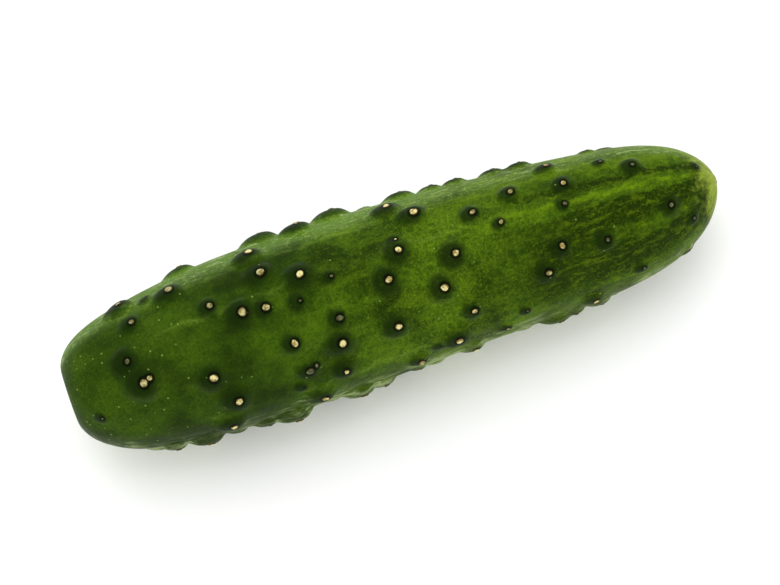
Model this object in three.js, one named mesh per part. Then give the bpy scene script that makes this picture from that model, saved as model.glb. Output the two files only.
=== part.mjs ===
// A fresh ridge cucumber of the pickling kind, lying on its side.
//
// Frame: millimetres, +Z up. +X runs along the fruit from its stem end to its blossom end,
// and the origin is under the middle of the fruit, on the surface that it rests on.
// Stations are distances along the fruit from its middle. Angles go round it, in degrees,
// from the top (0) towards +Y (90), underneath (180) and back up past -Y (-90).

import * as THREE from 'three';

// ---- driving dimensions ----

const LENGTH = 130;
const WIDEST_RADIUS = 16.35;
const WIDEST_STATION = -15;
const TAPER_EASE = 6;             // the taper starts gently, over about this much length

// Each half's outline. Taper is the radius lost per millimetre of length, fullness is how
// late the side starts to close in, and roundness is how blunt the end is.
const STEM_HALF = { taper: 0, fullness: 2.75, roundness: 3.35 };
const BLOSSOM_HALF = { taper: 0.045, fullness: 8.2, roundness: 1.75 };

const BOW = 1.5;                  // the ends lean this far towards -Y, measured from the middle
const BOW_CENTRE = 0.9;
const BOW_STATION = 3;
const STEM_HOOK = 1.1;            // and the very ends turn back towards +Y
const STEM_HOOK_FROM = -48;
const BLOSSOM_HOOK = 1.6;
const BLOSSOM_HOOK_FROM = 40;
const AXIS_SLOPE = 0.018;         // the thinner blossom half drops until both halves rest

const LOBES = 3;                  // three soft corners, one on top, and a flat underneath
const LOBE_DEPTH = 0.018;
const RIBS = 10;
const RIB_DEPTH = 0.006;
const RIB_ANGLE = 34;             // where one of the ribs runs

const STEM_SCAR_RADIUS = 3.6;     // the corky disc left by the stem, in a shallow hollow
const STEM_SCAR_RISE = 0.5;
const STEM_HOLLOW_RADIUS = 5.4;
const STEM_HOLLOW_DEPTH = 1.1;
const BLOSSOM_SCAR_RADIUS = 0.9;
const BLOSSOM_SCAR_RISE = 0.2;

const AROUND = 72;                // facets round the fruit
const ALONG = 84;                 // and along one side, between the two end scars

// ---- warts ----

// Each size of wart: the width of its mound, and its height above the skin with its dry scar.
const WART_SIZES = {
  big: { width: 8.6, height: 2 },
  middle: { width: 7.2, height: 1.6 },
  small: { width: 5.4, height: 1.15 },
  tiny: { width: 3.6, height: 0.55 },
};

// A mound falls away as (1 - share ^ fullness) ^ foot, where share runs from its middle to its
// edge, and it reaches further towards the stem than towards the blossom.
const DOME_FULLNESS = 3;
const DOME_FOOT = 1.4;
const LEAN = 0.2;

// The warts stand in loose rows. A row has the angle that it follows, and then each wart's
// station and how far it stands to one side of the row, in degrees. The fruit rests on two
// big warts of the row at 162 and on the middle one of the row at 198.
const WART_ROWS = [
  {
    angle: 76,
    big: [[-20.5, 3], [-6.2, 2]],
    middle: [[-37, 2], [-13.3, -11], [7.2, 2]],
    small: [[13.2, 1], [18, 0], [25.3, -2], [30.5, -3]],
    tiny: [[0, 3], [28.2, 0], [43.5, -4]],
  },
  { angle: 43, middle: [[-50, 7], [-23.5, -2], [4, 1], [-40, -9]], small: [[35, 0]], tiny: [[-44.5, 0]] },
  { angle: 24, middle: [[8.5, 4], [-22.5, -5]], small: [[-48.5, -2], [27, -1], [50.5, -3]], tiny: [[45, 10]] },
  { angle: 13, middle: [[-15.5, -5]], small: [[-33.5, -4], [19, 2], [37, 5]], tiny: [[3.6, -1], [62, 2]] },
  { angle: 3, middle: [[3.5, 0]], tiny: [[-10, -2], [23.5, -1], [36, -1]] },
  { angle: -5, middle: [[-51.5, -1], [-28, 2], [0, -8], [13.5, -5]], small: [[-23.5, 0], [-17, -3]] },
  { angle: -26, big: [[-49.8, 2]], middle: [[9.5, -3]], small: [[-20.5, -6], [-11, 0], [33, -1], [55, 1]], tiny: [[-48.5, 4]] },
  { angle: -40, middle: [[-37, 4], [-12, -2], [-1, -4]], small: [[29, -3], [41.5, 7]] },
  { angle: -54, middle: [[-34, -5]], small: [[-19.5, -1], [13.5, 1]], tiny: [[-59.5, 6], [-18, 1], [58.5, 1]] },
  { angle: -67, middle: [[9, -6]], small: [[-13, 2]], tiny: [[-21.5, -1], [23, -4]] },
  { angle: -76, tiny: [[5.5, 0], [18.5, -10], [46.5, 2]] },
  { angle: -87, middle: [[-36.5, 5], [-18.5, 3]], small: [[1, 2], [36, -5]] },
  {
    angle: -108,
    big: [[-24.5, -1]],
    middle: [[-41.7, 0], [-11.3, 0], [28.7, -1]],
    small: [[-30, 0], [-6.7, -1], [11.5, 6], [31.8, 0], [37, 1], [-48, 0]],
    tiny: [[0.5, 2], [56, 4]],
  },
  { angle: 237, small: [[-36, 1], [-17, -2], [4, 1], [22, -2]], tiny: [[-50, 0], [-27, 3], [40, 2]] },
  { angle: 162, big: [[-31, 0], [22, 0]], small: [[-13, 2], [4.5, -3], [38, 1]], tiny: [[-46, 3], [50, -2]] },
  {
    angle: 198,
    middle: [[-4, 1]],
    small: [[-42, 2], [-22, -3], [14, 4]],
    tiny: [[-13, -4], [31, -2], [46, 1]],
  },
];

// Behind, and low on that side, the rows are evenly spaced. Their warts are a pace apart,
// give or take a few millimetres, and they shrink towards the blossom end.
const FAR_ROW_ANGLES = [101, 114, 127, 139, 150, 210, 223];
const FAR_FIRST_STATION = -48;
const FAR_LAST_STATION = 56;
const FAR_PACE = 15.5;
const FAR_UNEVEN_STATION = 8;     // millimetres from end to end of the spread
const FAR_UNEVEN_ANGLE = 7;       // and degrees
const FAR_SIZES = ['big', 'middle', 'middle', 'small', 'tiny'];
const SHRINK_FROM_STATION = 16;   // past here a far wart is one size smaller

// A plain repeatable sequence of numbers between 0 and 1.
function sequence(seed) {
  const MODULUS = 2147483647;
  const MULTIPLIER = 16807;
  let state = seed;
  return () => {
    state = (state * MULTIPLIER) % MODULUS;
    return state / MODULUS;
  };
}

// ---- the bare fruit ----

// The radius of the bare skin at a station, from how far it is towards the nearer end.
function skinRadius(station) {
  const towardsStem = station < WIDEST_STATION;
  const half = towardsStem ? STEM_HALF : BLOSSOM_HALF;
  const reach = LENGTH / 2 + (towardsStem ? WIDEST_STATION : -WIDEST_STATION);
  const away = Math.abs(station - WIDEST_STATION);
  const side = WIDEST_RADIUS - half.taper * (Math.hypot(away, TAPER_EASE) - TAPER_EASE);
  const share = Math.min(1, away / reach);
  return side * (1 - share ** half.fullness) ** (1 / half.roundness);
}

// The station near one end where the skin closes to a given radius, by halving.
function stationOfRadius(radius, end) {
  let inner = WIDEST_STATION;
  let outer = (end * LENGTH) / 2;
  for (let step = 0; step < 40; step += 1) {
    const middle = (inner + outer) / 2;
    if (skinRadius(middle) > radius) inner = middle;
    else outer = middle;
  }
  return inner;
}

// The section is a circle with three soft corners and ten faint ribs.
function sectionShape(angle) {
  const lobe = LOBE_DEPTH * Math.cos(LOBES * angle);
  const rib = RIB_DEPTH * Math.cos(RIBS * (angle - THREE.MathUtils.degToRad(RIB_ANGLE)));
  return 1 + lobe + rib;
}

// Where the middle of the section is, at a station.
function axisPoint(station) {
  const half = LENGTH / 2;
  const intoStem = Math.max(0, STEM_HOOK_FROM - station) / (half + STEM_HOOK_FROM);
  const intoBlossom = Math.max(0, station - BLOSSOM_HOOK_FROM) / (half - BLOSSOM_HOOK_FROM);
  const bow = BOW_CENTRE - BOW * ((station - BOW_STATION) / half) ** 2;
  const across = bow + STEM_HOOK * intoStem ** 2 + BLOSSOM_HOOK * intoBlossom ** 2;
  return new THREE.Vector3(station, across, -AXIS_SLOPE * station);
}

// The direction away from the axis at an angle.
function outwards(angle) {
  return new THREE.Vector3(0, Math.sin(angle), Math.cos(angle));
}

// A point on the bare skin.
function skinPoint(station, radius, angle) {
  return outwards(angle).multiplyScalar(radius * sectionShape(angle)).add(axisPoint(station));
}

// ---- warts in place ----

function makeWart(sizeName, station, angleInDegrees) {
  const angle = THREE.MathUtils.degToRad(angleInDegrees);
  return { ...WART_SIZES[sizeName], centre: skinPoint(station, skinRadius(station), angle) };
}

function nearWarts() {
  const warts = [];
  for (const row of WART_ROWS) {
    for (const sizeName of Object.keys(WART_SIZES)) {
      for (const [station, aside] of row[sizeName] ?? []) {
        warts.push(makeWart(sizeName, station, row.angle + aside));
      }
    }
  }
  return warts;
}

function farWarts() {
  const warts = [];
  FAR_ROW_ANGLES.forEach((rowAngle, row) => {
    const next = sequence(101 + row);
    const start = FAR_FIRST_STATION + next() * FAR_PACE;
    for (let pace = start; pace < FAR_LAST_STATION; pace += FAR_PACE) {
      const station = pace + (next() - 0.5) * FAR_UNEVEN_STATION;
      const angle = rowAngle + (next() - 0.5) * FAR_UNEVEN_ANGLE;
      const smaller = station > SHRINK_FROM_STATION ? 1 : 0;
      const size = Math.floor(next() * (FAR_SIZES.length - 1)) + smaller;
      warts.push(makeWart(FAR_SIZES[size], station, angle));
    }
  });
  return warts;
}

const warts = [...nearWarts(), ...farWarts()];

// How far the warts lift the skin at a point. Where two mounds meet, the higher one counts.
function wartLift(point) {
  let lift = 0;
  for (const wart of warts) {
    const apart = point.clone().sub(wart.centre);
    apart.x += LEAN * Math.abs(apart.x);
    const share = apart.length() / (wart.width / 2);
    if (share < 1) lift = Math.max(lift, wart.height * (1 - share ** DOME_FULLNESS) ** DOME_FOOT);
  }
  return lift;
}

// ---- the turned shape ----

// The outline from the stem scar to the blossom scar, as radius and station.
function outline() {
  const stemEdge = stationOfRadius(STEM_HOLLOW_RADIUS, -1);
  const blossomEdge = stationOfRadius(BLOSSOM_SCAR_RADIUS, 1);
  const fine = [];
  const FINE_STEPS = 600;
  for (let step = 0; step <= FINE_STEPS; step += 1) {
    const turn = (Math.PI * step) / FINE_STEPS;
    const share = (1 - Math.cos(turn)) / 2;
    const station = THREE.MathUtils.lerp(stemEdge, blossomEdge, share);
    fine.push(new THREE.Vector2(skinRadius(station), station));
  }
  const side = new THREE.SplineCurve(fine).getSpacedPoints(ALONG);

  const hollowFloor = stemEdge + STEM_HOLLOW_DEPTH;
  const scarFace = hollowFloor - STEM_SCAR_RISE;
  const tip = blossomEdge + BLOSSOM_SCAR_RISE;
  return [
    new THREE.Vector2(0, scarFace),
    new THREE.Vector2(STEM_SCAR_RADIUS - 0.5, scarFace),
    new THREE.Vector2(STEM_SCAR_RADIUS, hollowFloor),
    ...side,
    new THREE.Vector2(BLOSSOM_SCAR_RADIUS * 0.6, tip),
    new THREE.Vector2(0, tip),
  ];
}

function cucumberGeometry() {
  const profile = outline();
  const geometry = new THREE.LatheGeometry(profile, AROUND);
  const position = geometry.getAttribute('position');
  const uv = geometry.getAttribute('uv');
  for (let index = 0; index < position.count; index += 1) {
    const { x: radius, y: station } = profile[index % profile.length];
    const angle = -2 * Math.PI * uv.getX(index);
    const point = skinPoint(station, radius, angle);
    point.addScaledVector(outwards(angle), wartLift(point));
    position.setXYZ(index, point.x, point.y, point.z);
  }
  geometry.computeBoundingBox();
  const { min, max } = geometry.boundingBox;
  geometry.translate(-(min.x + max.x) / 2, -(min.y + max.y) / 2, -min.z);
  geometry.computeVertexNormals();
  return geometry;
}

// ---- assembly ----

const skin = new THREE.MeshStandardMaterial({ color: 0x3c5c16, roughness: 0.42, metalness: 0 });

const cucumber = new THREE.Mesh(cucumberGeometry(), skin);
cucumber.name = 'cucumber';

const fruit = new THREE.Group();
fruit.add(cucumber);

export default fruit;
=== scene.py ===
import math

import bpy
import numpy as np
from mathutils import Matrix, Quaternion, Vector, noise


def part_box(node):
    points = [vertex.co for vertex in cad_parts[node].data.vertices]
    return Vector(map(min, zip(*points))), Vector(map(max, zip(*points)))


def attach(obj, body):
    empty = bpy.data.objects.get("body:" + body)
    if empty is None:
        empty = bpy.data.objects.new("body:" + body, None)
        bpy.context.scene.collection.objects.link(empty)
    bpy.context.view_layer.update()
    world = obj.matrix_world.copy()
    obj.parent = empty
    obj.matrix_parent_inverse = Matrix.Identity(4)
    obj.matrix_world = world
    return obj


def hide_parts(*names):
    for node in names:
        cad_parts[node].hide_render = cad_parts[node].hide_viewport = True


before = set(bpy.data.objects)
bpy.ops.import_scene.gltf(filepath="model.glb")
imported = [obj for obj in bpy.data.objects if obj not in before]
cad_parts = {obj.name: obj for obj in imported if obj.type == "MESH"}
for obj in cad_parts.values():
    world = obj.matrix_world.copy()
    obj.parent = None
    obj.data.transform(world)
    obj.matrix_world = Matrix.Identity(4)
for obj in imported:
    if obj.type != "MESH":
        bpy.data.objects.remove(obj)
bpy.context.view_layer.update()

# A fresh ridge cucumber lying on its side: its skin, the dry corky scars of its spines, and the
# scars where the stem and the flower came away. +X runs from the stem end to the blossom end.
# Stations are distances along the fruit from its middle. Angles go round it, in degrees, from the
# top (0) towards +Y (90), underneath (180) and back up past -Y (-90).

MM = 0.001
FRUIT_LOW, FRUIT_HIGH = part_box("cucumber")

# ---- the bare fruit, in millimetres ----

LENGTH = 130.0
WIDEST_RADIUS = 16.35
WIDEST_STATION = -15.0
TAPER_EASE = 6.0
STEM_HALF = {"taper": 0.0, "fullness": 2.75, "roundness": 3.35}
BLOSSOM_HALF = {"taper": 0.045, "fullness": 8.2, "roundness": 1.75}

BOW = 1.5
BOW_CENTRE = 0.9
BOW_STATION = 3.0
STEM_HOOK = 1.1
STEM_HOOK_FROM = -48.0
BLOSSOM_HOOK = 1.6
BLOSSOM_HOOK_FROM = 40.0
AXIS_SLOPE = 0.018
LOBES = 3
LOBE_DEPTH = 0.018
RIBS = 10
RIB_DEPTH = 0.006
RIB_ANGLE = 34.0

STEM_SCAR_RADIUS = 3.6
STEM_SCAR_RISE = 0.5
STEM_SCAR_SINK = 0.6
STEM_HOLLOW_RADIUS = 5.4
STEM_HOLLOW_FLOOR = 2.4
STEM_HOLLOW_DEPTH = 1.1
BLOSSOM_SCAR_RADIUS = 0.9
BLOSSOM_SCAR_RISE = 0.15
BLOSSOM_SCAR_SINK = 0.5

# The skin's mesh: its facets round the fruit and the distance between its rings. The outline is drawn
# finely first, in steps along the hollow and along the side, and the hollow's rim is eased in passes.
FACETS_ROUND = 250
RING_PITCH = 0.43
HOLLOW_STEPS = 60
SIDE_STEPS = 4000
RIM_PASSES = 4

# Low swellings all over the skin: their height and how far apart they are.
SWELL = 0.5
SWELL_SIZE = 16.0

# ---- warts ----

# Each size of wart: the width of its mound and its height above the skin.
WART_SIZES = {"big": (8.6, 1.75), "middle": (7.2, 1.3), "small": (5.4, 0.95), "tiny": (3.6, 0.45)}

# A mound falls away as (1 - share ^ fullness) ^ foot, where share runs from its middle to its edge.
# Its side towards the blossom end is steeper, by this share of its reach.
DOME_FULLNESS = 3.0
DOME_FOOT = 1.4
WART_LEAN = 0.2

# The dark ground round a wart reaches a little past its mound and lies a little towards the stem end,
# and a darker collar goes round its dry scar.
HALO_REACH = 1.12
HALO_OFFSET = 0.7
COLLAR_WIDTH = 0.7

# How a dry scar looks, from fresh cream cork to old grey or brown cork.
CREAM, OCHRE, TAN, GREY = 0.0, 0.35, 0.65, 1.0

# The warts stand in loose rows. A row has the angle that it follows, then each wart's station, how
# far it stands to one side of the row in degrees, how wide its dry scar is, and the scar's tone.
WART_ROWS = [
    {"angle": 76,
     "big": [(-20.5, 3, 1.6, CREAM), (-6.2, 2, 1.6, TAN)],
     "middle": [(-37, 2, 1.6, CREAM), (-13.3, -11, 1.6, TAN), (7.2, 2, 1.2, TAN)],
     "small": [(13.2, 1, 1.1, TAN), (18, 0, 0.9, GREY), (25.3, -2, 0.9, TAN),
               (30.5, -3, 0.8, GREY)],
     "tiny": [(0, 3, 0.7, TAN), (28.2, 0, 0, 0), (43.5, -4, 0.7, GREY)]},
    {"angle": 43,
     "middle": [(-50, 7, 1.5, CREAM), (-23.5, -2, 1.7, CREAM), (4, 1, 1.6, CREAM),
                (-40, -9, 1.7, TAN)],
     "small": [(35, 0, 1.4, CREAM)],
     "tiny": [(-44.5, 0, 0, 0)]},
    {"angle": 24,
     "middle": [(8.5, 4, 2.0, CREAM), (-22.5, -5, 1.9, OCHRE)],
     "small": [(-48.5, -2, 1.3, TAN), (27, -1, 1.2, OCHRE), (50.5, -3, 0.9, GREY)],
     "tiny": [(45, 10, 0.7, GREY)]},
    {"angle": 13,
     "middle": [(-15.5, -5, 1.7, CREAM)],
     "small": [(-33.5, -4, 1.4, TAN), (19, 2, 1.3, OCHRE), (37, 5, 1.2, CREAM)],
     "tiny": [(3.6, -1, 0.6, CREAM), (62, 2, 0.4, GREY)]},
    {"angle": 3,
     "middle": [(3.5, 0, 1.5, CREAM)],
     "tiny": [(-10, -2, 0.7, GREY), (23.5, -1, 1.0, TAN), (36, -1, 0.9, GREY)]},
    {"angle": -5,
     "middle": [(-51.5, -1, 1.2, GREY), (-28, 2, 1.9, OCHRE), (0, -8, 1.5, CREAM),
                (13.5, -5, 1.4, CREAM)],
     "small": [(-23.5, 0, 1.7, OCHRE), (-17, -3, 0.6, GREY)]},
    {"angle": -26,
     "big": [(-49.8, 2, 1.8, OCHRE)],
     "middle": [(9.5, -3, 1.6, CREAM)],
     "small": [(-20.5, -6, 1.6, CREAM), (-11, 0, 1.4, GREY), (33, -1, 1.3, CREAM), (55, 1, 1.0, GREY)],
     "tiny": [(-48.5, 4, 1.3, OCHRE)]},
    {"angle": -40,
     "middle": [(-37, 4, 1.8, CREAM), (-12, -2, 1.8, CREAM), (-1, -4, 1.5, CREAM)],
     "small": [(29, -3, 1.4, OCHRE), (41.5, 7, 0.9, GREY)]},
    {"angle": -54,
     "middle": [(-34, -5, 1.8, CREAM)],
     "small": [(-19.5, -1, 1.5, GREY), (13.5, 1, 1.3, CREAM)],
     "tiny": [(-59.5, 6, 0.5, GREY), (-18, 1, 0.9, GREY), (58.5, 1, 0.7, GREY)]},
    {"angle": -67,
     "middle": [(9, -6, 1.6, CREAM)],
     "small": [(-13, 2, 1.1, CREAM)],
     "tiny": [(-21.5, -1, 0, 0), (23, -4, 0.5, GREY)]},
    {"angle": -76,
     "tiny": [(5.5, 0, 0, 0), (18.5, -10, 1.0, TAN), (46.5, 2, 0.6, GREY)]},
    {"angle": -87,
     "middle": [(-36.5, 5, 1.5, CREAM), (-18.5, 3, 1.6, CREAM)],
     "small": [(1, 2, 1.5, CREAM), (36, -5, 1.3, CREAM)]},
    {"angle": -108,
     "big": [(-24.5, -1, 1.7, CREAM)],
     "middle": [(-41.7, 0, 1.6, CREAM), (-11.3, 0, 1.6, CREAM), (28.7, -1, 1.5, CREAM)],
     "small": [(-30, 0, 1.0, GREY), (-6.7, -1, 1.2, TAN), (11.5, 6, 1.4, CREAM), (31.8, 0, 1.0, GREY),
               (37, 1, 0.9, TAN), (-48, 0, 1.4, CREAM)],
     "tiny": [(0.5, 2, 0.7, GREY), (56, 4, 0.6, GREY)]},
    {"angle": 237,
     "small": [(-36, 1, 1.3, CREAM), (-17, -2, 1.3, TAN), (4, 1, 1.2, CREAM), (22, -2, 1.0, GREY)],
     "tiny": [(-50, 0, 0.8, TAN), (-27, 3, 0.8, GREY), (40, 2, 0.7, GREY)]},
    {"angle": 162,
     "big": [(-31, 0, 1.7, CREAM), (22, 0, 1.5, CREAM)],
     "small": [(-13, 2, 1.4, CREAM), (4.5, -3, 1.3, OCHRE), (38, 1, 1.1, CREAM)],
     "tiny": [(-46, 3, 0.9, TAN), (50, -2, 0.7, GREY)]},
    {"angle": 198,
     "middle": [(-4, 1, 1.6, CREAM)],
     "small": [(-42, 2, 1.4, CREAM), (-22, -3, 1.4, OCHRE), (14, 4, 1.3, CREAM)],
     "tiny": [(-13, -4, 0.8, GREY), (31, -2, 0.8, TAN), (46, 1, 0.7, GREY)]},
]

# Where no wart is listed, rows of warts follow each other at an even pace, shaken a little.
FAR_ROW_ANGLES = [101, 114, 127, 139, 150, 210, 223]
FAR_FIRST_STATION = -48.0
FAR_LAST_STATION = 56.0
FAR_PACE = 15.5
FAR_UNEVEN_STATION = 8.0
FAR_UNEVEN_ANGLE = 7.0
FAR_SIZES = ["big", "middle", "middle", "small", "tiny"]
FAR_SCARS = {"big": (1.8, CREAM), "middle": (1.6, CREAM), "small": (1.2, OCHRE), "tiny": (0.7, GREY)}
FAR_SEED = 101
SHRINK_FROM_STATION = 16.0

# ---- spine scars, in millimetres ----

SCAR_CORNERS = 12
SCAR_THICKNESS = 0.28
SCAR_UNEVENNESS = 0.55
SCAR_LUMP_SIZE = 1.1
SCAR_SEED = 4
SCAR_LEAST_STRETCH = (0.84, 0.76, 0.8)
SCAR_MOST_STRETCH = (1.04, 0.94, 1.1)
SCAR_TURN = 1.5

# The height of a scar's face at shares of its radius, from its dented middle to its edge.
SCAR_FACE = [(0.0, 0.62), (0.35, 0.78), (0.68, 0.86), (0.9, 0.62), (1.0, 0.25)]

# A wart with a smaller scar than this is bald. A scar is dropped on to the skin from above it.
LEAST_SCAR_RADIUS = 0.1
DROP_FROM = 5.0
DROP_LENGTH = 12.0

# ---- floor, light and camera, in metres and degrees ----

FLOOR_HALF = 2.5
TOP_LIGHT = {"place": (0.05, 0.55, 1.4), "size": 1.4, "power": 7}
SHEEN_LIGHT = {"place": (0.1, 1.2, 0.5), "size": 1.0, "power": 2}
ROOM_LIGHT = 1.1
CAMERA_HEIGHT_ANGLE = 72.0
CAMERA_ROLL = -18.55
CAMERA_SENSOR = 36.0
CAMERA_LENS = 364.8
CAMERA_DISTANCE = 1.5
CAMERA_ASIDE = 0.5 * MM
CAMERA_BELOW = 1.3 * MM


def sequence(seed):
    """A plain repeatable sequence of numbers between 0 and 1."""
    state = seed
    while True:
        state = (state * 16807) % 2147483647
        yield state / 2147483647


def skin_radius(station):
    """The radius of the bare skin at a station."""
    towards_stem = station < WIDEST_STATION
    half = STEM_HALF if towards_stem else BLOSSOM_HALF
    reach = LENGTH / 2 + (WIDEST_STATION if towards_stem else -WIDEST_STATION)
    away = abs(station - WIDEST_STATION)
    side = WIDEST_RADIUS - half["taper"] * (math.hypot(away, TAPER_EASE) - TAPER_EASE)
    share = min(1.0, away / reach)
    return side * (1 - share ** half["fullness"]) ** (1 / half["roundness"])


def station_of_radius(radius, end):
    """The station near one end where the skin closes to a given radius, by halving."""
    inner, outer = WIDEST_STATION, end * LENGTH / 2
    for _ in range(40):
        middle = (inner + outer) / 2
        if skin_radius(middle) > radius:
            inner = middle
        else:
            outer = middle
    return inner


def outwards(angle):
    """The direction out of the fruit at an angle round it."""
    return Vector((0, math.sin(angle), math.cos(angle)))


def skin_point(station, radius, angle):
    """A point on the bare skin, with its three soft corners, its ribs and the bow of its axis."""
    section = 1 + LOBE_DEPTH * math.cos(LOBES * angle)
    section += RIB_DEPTH * math.cos(RIBS * (angle - math.radians(RIB_ANGLE)))
    half = LENGTH / 2
    across = BOW_CENTRE - BOW * ((station - BOW_STATION) / half) ** 2
    across += STEM_HOOK * (max(0, STEM_HOOK_FROM - station) / (half + STEM_HOOK_FROM)) ** 2
    across += BLOSSOM_HOOK * (max(0, station - BLOSSOM_HOOK_FROM) / (half - BLOSSOM_HOOK_FROM)) ** 2
    return Vector((station, across, -AXIS_SLOPE * station)) + outwards(angle) * radius * section


def list_warts():
    """Every wart as size name, station, angle, scar width and scar tone."""
    warts = []
    for row in WART_ROWS:
        for size_name in WART_SIZES:
            for station, aside, scar, tone in row.get(size_name, []):
                warts.append((size_name, station, row["angle"] + aside, scar, tone))
    for row, row_angle in enumerate(FAR_ROW_ANGLES):
        numbers = sequence(FAR_SEED + row)
        pace = FAR_FIRST_STATION + next(numbers) * FAR_PACE
        while pace < FAR_LAST_STATION:
            station = pace + (next(numbers) - 0.5) * FAR_UNEVEN_STATION
            angle = row_angle + (next(numbers) - 0.5) * FAR_UNEVEN_ANGLE
            smaller = 1 if station > SHRINK_FROM_STATION else 0
            size_name = FAR_SIZES[int(next(numbers) * (len(FAR_SIZES) - 1)) + smaller]
            warts.append((size_name, station, angle, *FAR_SCARS[size_name]))
            pace += FAR_PACE
    return warts


# ---- small helpers ----

def add(tree, kind, inputs=None, out=0, **settings):
    """Adds a node with its settings, links or sets its inputs, and gives one of its outputs."""
    node = tree.nodes.new(kind)
    for name, value in settings.items():
        setattr(node, name, value)
    for key, value in (inputs or {}).items():
        if isinstance(value, bpy.types.NodeSocket):
            tree.links.new(value, node.inputs[key])
        else:
            node.inputs[key].default_value = value
    return node if out is None or not node.outputs else node.outputs[out]


def linear(hex_colour):
    """An sRGB colour such as 3c5c16 as the linear colour that a shader takes."""
    parts = [int(hex_colour[i:i + 2], 16) / 255 for i in (0, 2, 4)]
    return [c / 12.92 if c <= 0.04045 else ((c + 0.055) / 1.055) ** 2.4 for c in parts] + [1.0]


def new_object(name, vertices, faces):
    """An object at the origin, from a list of points and faces in metres."""
    mesh = bpy.data.meshes.new(name)
    mesh.from_pydata([tuple(v) for v in vertices], [], faces)
    mesh.update()
    piece = bpy.data.objects.new(name, mesh)
    bpy.context.scene.collection.objects.link(piece)
    return piece


def grow(name, seed_object, tree, values):
    """Runs a Geometry Nodes tree on an object and gives its result as a plain new object."""
    modifier = seed_object.modifiers.new("grow", "NODES")
    modifier.node_group = tree
    for item in tree.interface.items_tree:
        if item.item_type == "SOCKET" and item.in_out == "INPUT" and item.name in values:
            modifier[item.identifier] = values[item.name]
    graph = bpy.context.evaluated_depsgraph_get()
    mesh = bpy.data.meshes.new_from_object(seed_object.evaluated_get(graph))
    mesh.name = name
    piece = bpy.data.objects.new(name, mesh)
    bpy.context.scene.collection.objects.link(piece)
    seed_object.modifiers.remove(modifier)
    return piece


def new_tree(name, sockets):
    """A Geometry Nodes tree with a geometry going in and out and some named inputs."""
    tree = bpy.data.node_groups.new(name, "GeometryNodeTree")
    tree.interface.new_socket("Geometry", in_out="OUTPUT", socket_type="NodeSocketGeometry")
    tree.interface.new_socket("Geometry", in_out="INPUT", socket_type="NodeSocketGeometry")
    for socket_name, kind in sockets.items():
        tree.interface.new_socket(socket_name, in_out="INPUT", socket_type="NodeSocket" + kind)
    start = add(tree, "NodeGroupInput", out=None)
    finish = add(tree, "NodeGroupOutput", out=None)
    return tree, start, finish


# ---- where everything starts: the outline and the warts' places ----

def outline():
    """The skin's outline from the stem pole to the blossom pole, as even radii and stations."""
    stem_edge = station_of_radius(STEM_HOLLOW_RADIUS, -1)
    hollow = []
    for radius in np.linspace(0, STEM_HOLLOW_RADIUS, HOLLOW_STEPS, endpoint=False):
        share = min(1.0, (STEM_HOLLOW_RADIUS - radius) / (STEM_HOLLOW_RADIUS - STEM_HOLLOW_FLOOR))
        depth = STEM_HOLLOW_DEPTH * share * share * (3 - 2 * share)
        hollow.append((radius, stem_edge + depth))
    turns = np.linspace(0, math.pi, SIDE_STEPS)
    stations = stem_edge + (LENGTH / 2 - stem_edge) * (1 - np.cos(turns)) / 2
    side = [(skin_radius(float(s)), float(s)) for s in stations]
    fine = np.array(hollow + side)
    fine[-1, 0] = 0
    lengths = np.concatenate([[0], np.cumsum(np.hypot(*np.diff(fine, axis=0).T))])
    count = int(lengths[-1] / RING_PITCH)
    even = np.linspace(0, lengths[-1], count + 1)
    points = np.column_stack([np.interp(even, lengths, fine[:, k]) for k in (0, 1)])
    rim = slice(2, int(3 * STEM_HOLLOW_RADIUS / RING_PITCH))
    for _ in range(RIM_PASSES):
        softer = (points[:-2] + 2 * points[1:-1] + points[2:]) / 4
        points[1:-1][rim] = softer[rim]
    return points


def store(mesh, name, kind, values):
    """Keeps one value for each point of a mesh under a name."""
    attribute = mesh.attributes.new(name, kind, "POINT")
    field = "vector" if kind == "FLOAT_VECTOR" else "value"
    attribute.data.foreach_set(field, np.asarray(values, np.float32).ravel())


def wart_places():
    """One point for each wart, with its outward direction, width, height, scar width and tone."""
    points, facing, sizes, scars, tones = [], [], [], [], []
    for size_name, station, angle, scar, tone in list_warts():
        turn = math.radians(angle)
        points.append(skin_point(station, skin_radius(station), turn) * MM)
        facing.append(outwards(turn))
        width, height = WART_SIZES[size_name]
        sizes.append((width * MM / 2, height * MM, scar * MM / 2))
        scars.append(scar * MM / 2)
        tones.append(tone)
    places = new_object("wart_places", points, [])
    store(places.data, "facing", "FLOAT_VECTOR", facing)
    store(places.data, "sizes", "FLOAT_VECTOR", sizes)
    store(places.data, "scar_radius", "FLOAT", scars)
    store(places.data, "tone", "FLOAT", tones)
    return places


# ---- the skin ----

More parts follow.
